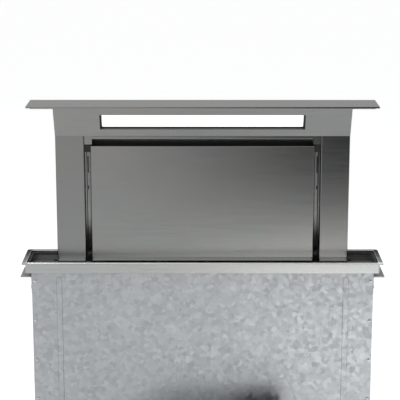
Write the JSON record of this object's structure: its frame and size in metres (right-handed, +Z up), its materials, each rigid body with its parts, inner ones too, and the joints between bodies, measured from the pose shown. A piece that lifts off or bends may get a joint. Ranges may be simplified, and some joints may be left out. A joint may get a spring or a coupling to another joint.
{
  "type": "downdraft vent",
  "caption": "Rising worktop extractor: steel cap, lit leaning fascia, tilting front panel over grease filters, screw lift in a slim casing and a scroll blower with round duct outlet.",
  "frame": {"origin": "centre of the worktop cut-out, on the worktop surface (the underside of the flange)", "axes": "+X to the right as seen by the cook, -Y to the front, +Z up"},
  "size_m": [0.93, 0.341, 1.127],
  "materials": {
    "brushed_stainless": "horizontal brushed stainless steel",
    "polished_stainless": "brighter satin stainless steel of the worktop frame",
    "black_enamel": "black enamelled steel",
    "dark_stainless": "dark brushed stainless steel of the tray",
    "galvanised_steel": "galvanised sheet",
    "black_rubber": "matt black rubber",
    "black_plastic": "matt black plastic",
    "grey_plastic": "light grey plastic",
    "motor_black": "black painted motor",
    "lit_diffuser": "opal diffuser, lit from behind",
    "circuit_board": "white circuit board",
    "filter_aluminium": "bright aluminium",
    "cast_aluminium": "cast aluminium",
    "bronze": "bronze",
    "turned_steel": "turned bright steel"
  },
  "bodies": {
    "chassis": {"worktop_frame": "polished_stainless", "frame_gasket": "black_rubber", "tray_pan": "dark_stainless", "casing_front": "galvanised_steel", "casing_back": "galvanised_steel", "casing_side_left": "galvanised_steel", "casing_side_right": "galvanised_steel", "casing_base": "galvanised_steel", "levelling_feet": "black_rubber", "floor_brackets": "galvanised_steel", "worktop_brackets": "galvanised_steel", "guide_rail_left": "galvanised_steel", "guide_rail_right": "galvanised_steel", "screw_bearings": "bronze", "bearing_plate": "galvanised_steel", "lift_gearmotor": "cast_aluminium", "drive_belt": "black_rubber", "inlet_seal": "black_rubber", "blower_bushes": "black_rubber", "scroll_housing": "galvanised_steel", "motor_plate": "galvanised_steel", "blower_motor": "motor_black", "outlet_adapter": "black_plastic", "outlet_collar": "black_plastic", "control_box": "grey_plastic", "control_lid": "grey_plastic", "cable_gland": "black_plastic"},
    "tower": {"top_cap": "brushed_stainless", "cap_stiffeners": "galvanised_steel", "fascia": "brushed_stainless", "lamp_frame": "black_plastic", "lamp_diffuser": "lit_diffuser", "lamp_housing": "galvanised_steel", "led_board": "circuit_board", "column_left": "brushed_stainless", "column_right": "brushed_stainless", "tower_back": "galvanised_steel", "header": "brushed_stainless", "panel_catches": "black_plastic", "channel_plate_left": "brushed_stainless", "channel_plate_right": "brushed_stainless", "filter_frame": "black_enamel", "grease_filter_left": "filter_aluminium", "grease_filter_right": "filter_aluminium", "hinge_ears": "galvanised_steel", "sill": "brushed_stainless", "carriage_beam": "galvanised_steel", "lift_arms": "galvanised_steel", "lift_nuts": "bronze", "slide_pads": "black_plastic"},
    "panel": {"front_panel": "brushed_stainless", "panel_stiffener": "galvanised_steel", "panel_hinge_pins": "turned_steel"},
    "impeller": {"impeller": "galvanised_steel", "motor_shaft": "turned_steel"},
    "flap_front": {"flap_front": "black_plastic"},
    "flap_back": {"flap_back": "black_plastic"},
    "screw_left": {"lead_screw_left": "turned_steel"},
    "screw_right": {"lead_screw_right": "turned_steel"},
    "drive_pulley": {"drive_pulley": "turned_steel"}
  },
  "joints": [
    {"name": "lift", "type": "slide", "parent": "chassis", "child": "tower", "axis": [0, 0, 1], "range_m": [-0.4, 0]},
    {"name": "panel_tilt", "type": "hinge", "parent": "tower", "child": "panel", "pos_m": [0, 0, 0.012], "axis": [1, 0, 0], "range_deg": [0, 35]},
    {"name": "impeller_spin", "type": "hinge", "parent": "chassis", "child": "impeller", "pos_m": [-0.06, -0.14, -0.535], "axis": [0, 1, 0], "continuous": true},
    {"name": "flap_front_swing", "type": "hinge", "parent": "chassis", "child": "flap_front", "pos_m": [0.131, -0.135, -0.425], "axis": [0, 0, 1], "range_deg": [0, 75]},
    {"name": "flap_back_swing", "type": "hinge", "parent": "chassis", "child": "flap_back", "pos_m": [0.131, -0.135, -0.425], "axis": [0, 0, -1], "range_deg": [0, 75]},
    {"name": "screw_left_spin", "type": "hinge", "parent": "chassis", "child": "screw_left", "pos_m": [-0.413, 0, -0.4], "axis": [0, 0, 1], "range_deg": [0, 7200]},
    {"name": "screw_right_spin", "type": "hinge", "parent": "chassis", "child": "screw_right", "pos_m": [0.413, 0, -0.4], "axis": [0, 0, 1], "range_deg": [0, 7200]},
    {"name": "drive_pulley_spin", "type": "hinge", "parent": "chassis", "child": "drive_pulley", "pos_m": [-0.25, -0.032, -0.67], "axis": [0, 0, 1], "range_deg": [0, 10200]}
  ],
  "couplings": [
    {"joint": "screw_left_spin", "follows": "lift", "rad_per_m": -314.16},
    {"joint": "screw_right_spin", "follows": "lift", "rad_per_m": -314.16},
    {"joint": "drive_pulley_spin", "follows": "lift", "rad_per_m": -445.06}
  ]
}
